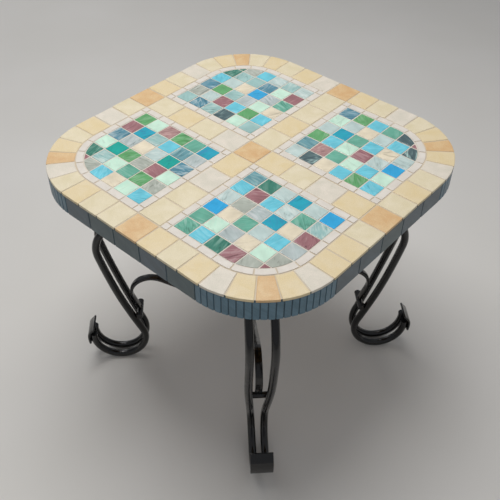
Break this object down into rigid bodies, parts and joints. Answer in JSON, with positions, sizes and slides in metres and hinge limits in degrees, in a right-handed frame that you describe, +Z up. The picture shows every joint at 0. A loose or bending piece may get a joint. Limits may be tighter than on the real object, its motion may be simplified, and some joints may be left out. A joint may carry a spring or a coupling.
{
  "type": "mosaic side table",
  "caption": "Square side table with a rounded glass and stone mosaic top on black wrought-iron double-rod scroll legs tied by arched stretcher bars.",
  "frame": {"origin": "on the floor under the middle of the table top", "axes": "+Z up; X and Y run parallel to the sides of the top; the legs stand on the diagonals"},
  "size_m": [0.508, 0.508, 0.457],
  "materials": {
    "board_wood": "sanded plywood, bare underneath",
    "grout": "matte sanded cement grout",
    "cream_stone": "honed, faintly mottled cream stone tile",
    "honey_stone": "honed honey-coloured stone tile",
    "white_tile": "soft gloss off-white tile",
    "stained_glass": "opalescent stained glass in many colours, glossy and opaque",
    "slate_tile": "slate blue-grey glazed edge tile",
    "black_iron": "gloss black paint over forged iron rod",
    "screw_steel": "bright zinc-plated steel"
  },
  "bodies": {
    "root": {"tabletop_board": "board_wood", "grout_bed": "grout", "centre_accent_tile": "honey_stone", "cross_arm_right": "cream_stone", "side_accent_right": "honey_stone", "cross_arm_back": "cream_stone", "side_accent_back": "honey_stone", "cross_arm_left": "cream_stone", "side_accent_left": "honey_stone", "cross_arm_front": "cream_stone", "side_accent_front": "honey_stone", "glass_field_back_right": "stained_glass", "white_border_back_right": "white_tile", "ring_run_back_right": "cream_stone", "glass_field_back_left": "stained_glass", "white_border_back_left": "white_tile", "ring_run_back_left": "cream_stone", "glass_field_front_left": "stained_glass", "white_border_front_left": "white_tile", "ring_run_front_left": "cream_stone", "glass_field_front_right": "stained_glass", "white_border_front_right": "white_tile", "ring_run_front_right": "cream_stone", "rim_side_right": "slate_tile", "rim_corner_back_right": "slate_tile", "rim_side_back": "slate_tile", "rim_corner_back_left": "slate_tile", "rim_side_left": "slate_tile", "rim_corner_front_left": "slate_tile", "rim_side_front": "slate_tile", "rim_corner_front_right": "slate_tile", "leg_rod_back_right_a": "black_iron", "leg_rod_back_right_b": "black_iron", "leg_crossbar_back_right": "black_iron", "scroll_plate_back_right": "black_iron", "leg_rod_back_left_a": "black_iron", "leg_rod_back_left_b": "black_iron", "leg_crossbar_back_left": "black_iron", "scroll_plate_back_left": "black_iron", "leg_rod_front_left_a": "black_iron", "leg_rod_front_left_b": "black_iron", "leg_crossbar_front_left": "black_iron", "scroll_plate_front_left": "black_iron", "leg_rod_front_right_a": "black_iron", "leg_rod_front_right_b": "black_iron", "leg_crossbar_front_right": "black_iron", "scroll_plate_front_right": "black_iron", "stretcher_through_bar": "black_iron", "stretcher_half_bar_back_left": "black_iron", "stretcher_half_bar_front_right": "black_iron", "top_cross_plate": "black_iron", "plate_screw_1": "screw_steel", "plate_screw_2": "screw_steel", "plate_screw_3": "screw_steel", "plate_screw_4": "screw_steel", "plate_screw_5": "screw_steel", "plate_screw_6": "screw_steel", "plate_screw_7": "screw_steel", "plate_screw_8": "screw_steel"}
  },
  "joints": []
}
